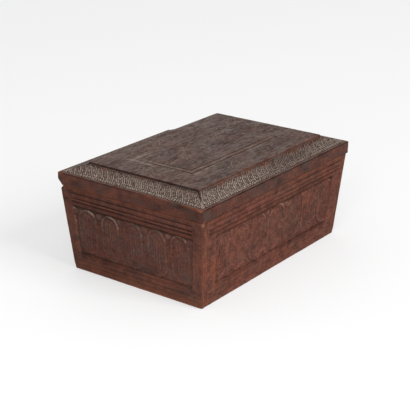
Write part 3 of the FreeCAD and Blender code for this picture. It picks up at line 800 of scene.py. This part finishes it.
def rail(node, turn, pitch, lean, arris_wear, chips, seed, material):
    """A lid rail, made of upright rings along its length: fascia, carved band, seat and underside."""
    outer, half = (LID_Y, LID_X) if turn in (FRONT, BACK) else (LID_X, LID_Y)
    rise = BAND_TOP - FASCIA_TOP
    slope = math.hypot(BAND_WIDTH, rise)
    share = np.linspace(-1, 1, int(2 * half / RAIL_STEP))
    if turn == BACK:
        share = with_steps(share, hinge_ends(half), CRISP / half)
    share = share[:, None]
    run = share * half
    up = np.linspace(LID_Z, FASCIA_TOP, FASCIA_STEPS + 1)[None, :]
    fall, chipped = fascia_fall(run, up, half, chips, seed)
    wall = np.stack([run - share * fall, fall, up + 0 * run], -1)

    over = np.linspace(0, BAND_WIDTH, BAND_STEPS + 1)[None, 1:]
    along = share * (half - over)
    mitre = half - over - np.abs(along)
    band = band_relief(along, over, pitch, lean, seed) * smooth(0, 1.2, over)
    band = band + rounded(BAND_WIDTH - over, BAND_ARRIS) + rounded(mitre, MITRE_ARRIS)
    level = FASCIA_TOP + rise * over / BAND_WIDTH - band * BAND_WIDTH / slope
    shelf = np.stack([along, over + band * rise / slope, level], -1)

    seat, under = plain_section()
    plain = []
    for inset, height in seat + under:
        plain.append(np.concatenate([share * (half - inset), 0 * run + inset, 0 * run + height], 1))
    rings = np.concatenate([wall, shelf, np.stack(plain, 1)], 1)
    rings[..., 1] = rings[..., 1] - outer
    points = turned(rings, turn)
    points[..., 2] = points[..., 2] - worn_back_edge(points)
    lowest = LID_Z + np.clip(points[..., 1] - AXIS_Y, 0, None) * BEVEL
    drop = np.clip(FASCIA_TOP - points[..., 2], 0, None)
    points[..., 2] = points[..., 2] + drop * (lowest - LID_Z) / (FASCIA_TOP - LID_Z)
    if turn == BACK:
        bottom = points[at_hinge(run[:, 0]), -len(under):]
        bottom[..., 2] = np.maximum(bottom[..., 2], hinge_roof(bottom[..., 1]))
        points[at_hinge(run[:, 0]), -len(under):] = bottom

    wall_masks, top_edge = fascia_masks(share, half, up, turn, arris_wear, chipped, seed)
    shelf_masks = band_masks(run, half, along, over, band, mitre, turn, top_edge, seed)
    masks = {key: np.concatenate([wall_masks[key], shelf_masks[key]], 1) for key in wall_masks}
    masks = padded_masks(masks, len(plain))
    make_piece(node, points.reshape(-1, 3), skin(rings), masks, "lid", material)


# Lid panel

CORNER_ROUNDING = 2.2
PANEL_ARRIS = 0.9
PANEL_COLUMNS = 380
PANEL_ROWS = 242
LEFT_SHRINK = 0.6


def panel_masks(x, y, depth, inset):
    """Rubbed edges, dirty lines, a painted shadow along the left edge, dusty crests and fading with
    painted sheen of the panel.
    """
    ridge, hollow = ridges_and_hollows(depth, 2, 0.7)
    left = lines_left(x, y)
    between_lines = LINE_INSET + LINE_SPACING / 2
    front_edge = bump(y + PANEL_Y, 0, 3) * patches(x, y, 17, PANEL_SEED + 11, 0.6)
    other_edges = 0.2 * bump(inset, 0, 1.8) * patches(x, y, 17, PANEL_SEED + 12, 0.4)
    # Painted shadow along the left edge, where the panel's side is in shade
    shaded_left_edge = bump(x + PANEL_X - LEFT_SHRINK, 0, 0.9)
    lines = sum(bump(inset, line, 1.6) for line in PANEL_LINES)
    between = bump(inset, between_lines, 3.5) * smooth(-20, -30, y) * left
    near_lines = bump(inset, LINE_INSET - 5, 4) + 0.7 * bump(inset, between_lines, 2.5)
    border = near_lines * smooth(-45, -75, x) * patches(x, y, 6, PANEL_SEED + 15, 0.4)
    dusty = 0.5 * ridge * patches(x, y, 21, PANEL_SEED + 13, 0.5) + 0.4 * border
    dirty = 0.4 * hollow + lines * left + 0.7 * shaded_left_edge + 0.2 * front_edge
    # Grey of fading, partly a painted sheen of the lit top
    faded_and_sheen = 0.8 + 0.2 * smooth(0, 1.5, inset)
    return {
        "wear": np.clip(0.17 * front_edge + other_edges + 0.1 * between - shaded_left_edge, 0, 1),
        "dirt_and_shade": np.clip(dirty, 0, 1),
        "dust_and_highlight": np.clip(dusty, 0, 1) * smooth(1.5, 3, inset),
        "faded_and_sheen": faded_and_sheen * (0.9 + 0.1 * noise(x, y, 25, PANEL_SEED + 14)),
    }


def lid_panel(node, material):
    """The raised panel: its carved top as a grid, upright edges and a flat underside."""
    x = np.linspace(LEFT_SHRINK - PANEL_X, PANEL_X, PANEL_COLUMNS + 1)[:, None]
    y = np.linspace(-PANEL_Y, PANEL_Y, PANEL_ROWS + 1)[None, :]
    depth, inset = panel_relief(x, y)
    depth = depth * smooth(0, 1.5, inset) + rounded(inset, PANEL_ARRIS)
    past_x = np.clip(np.abs(x) - PANEL_X + CORNER_ROUNDING, 0, None)
    past_y = np.clip(np.abs(y) - PANEL_Y + CORNER_ROUNDING, 0, None)
    pulled = 1 - np.maximum(past_x, past_y) / np.maximum(np.hypot(past_x, past_y), CRISP)
    pulled = np.where((past_x > 0) & (past_y > 0), pulled, 0)
    plan_x = x - np.sign(x) * past_x * pulled
    plan_y = y - np.sign(y) * past_y * pulled
    top = np.stack([plan_x, plan_y, PANEL_TOP - depth], -1).reshape(-1, 3)
    columns, rows = depth.shape
    index = np.arange(columns * rows).reshape(columns, rows)
    quads = np.stack([index[:-1, :-1], index[1:, :-1], index[1:, 1:], index[:-1, 1:]], -1)
    rim = np.concatenate([index[:-1, 0], index[-1, :-1], index[:0:-1, -1], index[0, :0:-1]])
    under = top[rim]
    under[:, 2] = SEAT_Z
    below = np.arange(len(rim)) + columns * rows
    sides = np.stack([rim, below, np.roll(below, -1), np.roll(rim, -1)], -1)
    faces = quads.reshape(-1, 4).tolist() + sides.tolist() + [below.tolist()]
    masks = {}
    for key, values in panel_masks(x, y, depth, inset).items():
        masks[key] = np.concatenate([values.ravel(), values.ravel()[rim]])
    make_piece(node, np.concatenate([top, under]), faces, masks, "lid", material)


# Hinge screws

SCREW_STEPS = 48
HEAD_RINGS = [0.05, 0.2, 0.4, 0.6, 0.8, 0.9, 1.0, 1.0]
HEAD_FALL = [0, 0, 0, 0, 0, 0, 0.05, 0.15]
HEAD_TO_SHANK = 1.8
TIP_LENGTH = 2
TIP_SHARE = 0.1
SLOT_HALF = 0.3
SLOT_BLEND = 0.06
SLOT_DEPTH = 0.5
SLOT_FALL = 0.2


def screws(node, body, face, inward, seed, material):
    """Slotted, countersunk screws flush with the leaves, each a closed shell of rings about its axis."""
    corner, far_corner = low(node), high(node)
    head = (far_corner[1] - corner[1]) / 2
    length = far_corner[2] - corner[2]
    shank = head / HEAD_TO_SHANK
    angle = np.linspace(0, 2 * np.pi, SCREW_STEPS, endpoint=False)[None, :]
    radius = np.concatenate([np.array(HEAD_RINGS) * head, [shank, shank, TIP_SHARE * shank]])[:, None]
    down = np.concatenate([HEAD_FALL, [LEAF_THICKNESS, length - TIP_LENGTH, length]])[:, None]
    outer = far_corner[0] - head
    places = (-outer, SCREW_SPACING - outer, outer - SCREW_SPACING, outer)
    twists = np.random.default_rng(seed).uniform(0, np.pi, len(places))
    points = []
    faces = []
    start = 0
    for twist, across in zip(twists, places):
        off_slot = np.abs(radius * np.sin(angle - twist))
        slot = smooth(SLOT_HALF + SLOT_BLEND, SLOT_HALF - SLOT_BLEND, off_slot)
        sunk = np.maximum(down, SLOT_DEPTH * slot + SLOT_FALL * down)
        depth = np.where(down < LEAF_THICKNESS / 2, sunk, down)
        x = across + radius * np.cos(angle)
        y = (corner[1] + head) + radius * np.sin(angle)
        shell = np.stack([x, y, face + inward * depth], -1)
        faces += [[start + corner_index for corner_index in loop] for loop in skin(shell)]
        points.append(shell.reshape(-1, 3))
        start += shell[..., 0].size
    make_piece(node, np.concatenate(points), faces, {}, body, material)


# Materials


def colour(red, green, blue):
    """A colour written as on a screen, 0 to 255, in linear light."""
    parts = [value / 255 for value in (red, green, blue)]
    return tuple(p / 12.92 if p <= 0.04045 else ((p + 0.055) / 1.055) ** 2.4 for p in parts) + (1.0,)


def new_material(name):
    """A material with its node tree and its shader."""
    material = bpy.data.materials.new(name)
    material.use_nodes = True
    tree = material.node_tree
    return material, tree, tree.nodes["Principled BSDF"]


def add_node(tree, kind, inputs=None, **settings):
    made = tree.nodes.new("ShaderNode" + kind)
    for key, value in settings.items():
        setattr(made, key, value)
    for key, value in (inputs or {}).items():
        if isinstance(value, bpy.types.NodeSocket):
            tree.links.new(value, made.inputs[key])
        else:
            made.inputs[key].default_value = value
    return made


def mixed(tree, factor, first, second):
    """Two colours mixed by a factor."""
    node = add_node(tree, "Mix", {0: factor, 6: first, 7: second}, data_type="RGBA")
    return node.outputs[2]


def product(tree, first, second):
    return add_node(tree, "Math", {0: first, 1: second}, operation="MULTIPLY").outputs[0]


def total(tree, first, second):
    return add_node(tree, "Math", {0: first, 1: second}, operation="ADD", use_clamp=True).outputs[0]


def ranged(tree, value, low_in, high_in, low_out=0.0, high_out=1.0):
    """A value brought from one range to another, and kept inside it."""
    inputs = {"Value": value, "From Min": low_in, "From Max": high_in}
    inputs.update({"To Min": low_out, "To Max": high_out})
    return add_node(tree, "MapRange", inputs).outputs[0]


def lumps(tree, place, scale, detail=3, stretch=(1, 1, 1)):
    """Noise with lumps about 1 / scale metres wide, drawn out along axes with a small stretch."""
    placed = add_node(tree, "Mapping", {"Vector": place, "Scale": stretch}).outputs[0]
    inputs = {"Vector": placed, "Scale": scale, "Detail": detail, "Roughness": 0.6}
    return add_node(tree, "TexNoise", inputs).outputs[0]


def mask(tree, key):
    return add_node(tree, "Attribute", attribute_name=key).outputs["Fac"]


ALONG_X = (0.05, 1, 0.35)
ALONG_Y = (1, 0.05, 0.35)
DARK = colour(54, 31, 26)
BROWN = colour(120, 77, 66)
RED = colour(136, 78, 62)
LIGHT = colour(150, 100, 84)
OLIVE = colour(88, 70, 56)
WORN = colour(160, 90, 52)
# Colour of dirt and of painted shade
GRIME_AND_SHADE = colour(30, 18, 15)
# Colour of dust and of painted highlights
DUST_AND_HIGHLIGHT = colour(174, 158, 143)
# Colours of faded wood and of painted sheen
FADED_SHEEN_DARK = colour(37, 31, 29)
FADED_SHEEN_LIGHT = colour(100, 89, 84)
BRASS = colour(186, 150, 86)
DULL_BRASS = colour(92, 70, 44)
WAX_GLOSS = 0.05
GRAIN_DEPTH = 0.0008


def wood(name, grain):
    """Old waxed wood: streaks, blotches, a faded top with painted sheen, dark hollows and painted shade,
    pale crests partly painted as highlights, and worn edges.
    """
    material, tree, shader = new_material(name)
    place = add_node(tree, "TexCoord").outputs["Object"]
    streaks = lumps(tree, place, 420, 6, grain)
    flushes = lumps(tree, place, 30, 3)
    blotches = lumps(tree, place, 90, 5, [max(part, 0.3) for part in grain])
    mottle = lumps(tree, place, 280, 3, [max(part, 0.4) for part in grain])
    specks = lumps(tree, place, 650, 3)
    base = mixed(tree, ranged(tree, streaks, 0.2, 0.62), DARK, BROWN)
    base = mixed(tree, ranged(tree, flushes, 0.38, 0.66, 0.15, 0.75), base, RED)
    base = mixed(tree, ranged(tree, blotches, 0.5, 0.68, 0.0, 0.4), base, OLIVE)
    base = mixed(tree, ranged(tree, mottle, 0.48, 0.62, 0.0, 0.45), base, DARK)
    base = mixed(tree, ranged(tree, mottle, 0.52, 0.38, 0.0, 0.25), base, LIGHT)
    base = mixed(tree, ranged(tree, specks, 0.44, 0.62, 0.0, 0.6), base, DARK)
    cloud = total(tree, product(tree, mottle, 0.6), product(tree, blotches, 0.4))
    # Grey of faded wood, partly a painted sheen of the lit top
    faded_and_sheen = mixed(tree, ranged(tree, cloud, 0.42, 0.58), FADED_SHEEN_DARK, FADED_SHEEN_LIGHT)
    base = mixed(tree, product(tree, mask(tree, "faded_and_sheen"), 0.85), base, faded_and_sheen)
    grit = ranged(tree, specks, 0.3, 0.6, 0.3, 1.0)
    # Pale dust, and painted highlights on the crests of the sides
    base = mixed(tree, product(tree, mask(tree, "dust_and_highlight"), grit), base, DUST_AND_HIGHLIGHT)
    base = mixed(tree, product(tree, mask(tree, "wear"), grit), base, WORN)
    # Dirt, and painted shade
    base = mixed(tree, product(tree, mask(tree, "dirt_and_shade"), 0.85), base, GRIME_AND_SHADE)
    tree.links.new(base, shader.inputs["Base Color"])
    tree.links.new(ranged(tree, streaks, 0.3, 0.7, 0.5, 0.75), shader.inputs["Roughness"])
    shader.inputs["Specular IOR Level"].default_value = WAX_GLOSS
    grains = total(tree, product(tree, streaks, 0.5), product(tree, specks, 0.5))
    ruffle = add_node(tree, "Bump", {"Height": grains, "Strength": 0.6, "Distance": GRAIN_DEPTH})
    tree.links.new(ruffle.outputs[0], shader.inputs["Normal"])
    return material


def brass(name):
    """Old brass with a dull, spotted skin."""
    material, tree, shader = new_material(name)
    place = add_node(tree, "TexCoord").outputs["Object"]
    spots = lumps(tree, place, 260, 5)
    base = mixed(tree, ranged(tree, spots, 0.4, 0.7), BRASS, DULL_BRASS)
    tree.links.new(base, shader.inputs["Base Color"])
    tree.links.new(ranged(tree, spots, 0.3, 0.7, 0.32, 0.6), shader.inputs["Roughness"])
    shader.inputs["Metallic"].default_value = 1.0
    return material


# The pieces. A rail has the pitch and lean of its ribs, the wear at the left and right of its upper edge,
# and chips, each with its distance from an end (from the left one where negative), height and length

wood_x = wood("wood_along_x", ALONG_X)
wood_y = wood("wood_along_y", ALONG_Y)
hinge_brass = brass("hinge_brass")

long_board("front_board", FRONT, 100, wood_x)
long_board("back_board", BACK, 140, wood_x)
end_board("left_end_board", LEFT, 180, 1, wood_y)
end_board("right_end_board", RIGHT, 220, 0, wood_y)
rail("lid_front_rail", FRONT, FRONT_RIB_PITCH, 1, (0.1, 0.05), [(-1, LID_Z, 3)], 400, wood_x)
rail("lid_back_rail", BACK, FRONT_RIB_PITCH, 1, (0.5, 0.5), [], 430, wood_x)
left_chips = [(4, FASCIA_TOP, 6), (1, LID_Z, 3), (-3, FASCIA_TOP, 4)]
rail("lid_left_rail", LEFT, END_RIB_PITCH, -1, (0.2, 1.0), left_chips, 460, wood_y)
rail("lid_right_rail", RIGHT, END_RIB_PITCH, -1, (0.7, 0.7), [(5, LID_Z, 4)], 490, wood_y)
lid_panel("lid_panel", wood_x)
screws("hinge_box_screws", "box", RIM_Z, -1, 520, hinge_brass)
screws("hinge_lid_screws", "lid", LID_Z, 1, 521, hinge_brass)

for node, thing in frame["nodes"].items():
    if thing.hide_render:
        continue
    thing.data.materials.clear()
    thing.data.materials.append(wood_x if node.startswith("bottom") else hinge_brass)

# Floor, light and camera, in metres

FLOOR_REACH = 12.0
FLOOR_LEVEL = -0.0002
FLOOR_CORNERS = ((-1, -1), (1, -1), (1, 1), (-1, 1))
FLOOR_GREY = colour(165, 165, 165)
FLOOR_SEEN = colour(188, 188, 188)
FLOOR_GLOW = 0.45
WHITE = (1.0, 1.0, 1.0, 1.0)
WORLD_GREY = (0.6, 0.6, 0.6, 1.0)
WORLD_SEEN = (0.9, 0.9, 0.9, 1.0)
EYE = (-1.0989, -0.8162, 0.5864)
AZIMUTH, ELEVATION = -53.193, 20.941
FOCAL_LENGTH = 99.26
SENSOR_WIDTH = 36


def is_seen(tree):
    """1 for what the camera sees, straight, in a reflection or through glass."""
    path = add_node(tree, "LightPath")
    seen = total(tree, path.outputs["Is Camera Ray"], path.outputs["Is Glossy Ray"])
    return total(tree, seen, path.outputs["Is Transmission Ray"])


def make_floor():
    mesh = bpy.data.meshes.new("floor")
    corners = [(FLOOR_REACH * x, FLOOR_REACH * y, FLOOR_LEVEL) for x, y in FLOOR_CORNERS]
    mesh.from_pydata(corners, [], [(0, 1, 2, 3)])
    material, tree, shader = new_material("floor")
    seen = is_seen(tree)
    tone = mixed(tree, seen, FLOOR_GREY, FLOOR_SEEN)
    tree.links.new(tone, shader.inputs["Base Color"])
    shader.inputs["Emission Color"].default_value = WHITE
    tree.links.new(product(tree, seen, FLOOR_GLOW), shader.inputs["Emission Strength"])
    shader.inputs["Roughness"].default_value = 0.9
    shader.inputs["Specular IOR Level"].default_value = 0.0
    mesh.materials.append(material)
    floor = add_object("floor", mesh)


def make_world():
    world = bpy.data.worlds.new("studio")
    world.use_nodes = True
    tree = world.node_tree
    tone = mixed(tree, is_seen(tree), WORLD_GREY, WORLD_SEEN)
    tree.links.new(tone, tree.nodes["Background"].inputs["Color"])
    bpy.context.scene.world = world


def make_lamp(name, place, size, power):
    """A square lamp that looks at the origin."""
    lamp = bpy.data.lights.new(name, "AREA")
    lamp.size = size
    lamp.energy = power
    thing = add_object(name, lamp)
    thing.location = place
    x, y, z = place
    thing.rotation_euler = (math.atan2(math.hypot(x, y), z), 0, math.atan2(x, -y))


def make_camera():
    camera = bpy.data.cameras.new("camera")
    camera.lens = FOCAL_LENGTH
    camera.sensor_width = SENSOR_WIDTH
    thing = add_object("camera", camera)
    thing.location = EYE
    thing.rotation_euler = (math.radians(90 - ELEVATION), 0, math.radians(AZIMUTH))
    bpy.context.scene.camera = thing


make_floor()
make_world()
make_lamp("right_softbox", (0.1, -5.1, 3.2), 3.0, 215)
make_lamp("left_softbox", (-1.75, -0.95, 1.0), 1.1, 20)
make_lamp("back_fill", (4.0, 4.0, 1.2), 3.0, 30)
make_camera()
bpy.context.scene.view_settings.view_transform = "Standard"
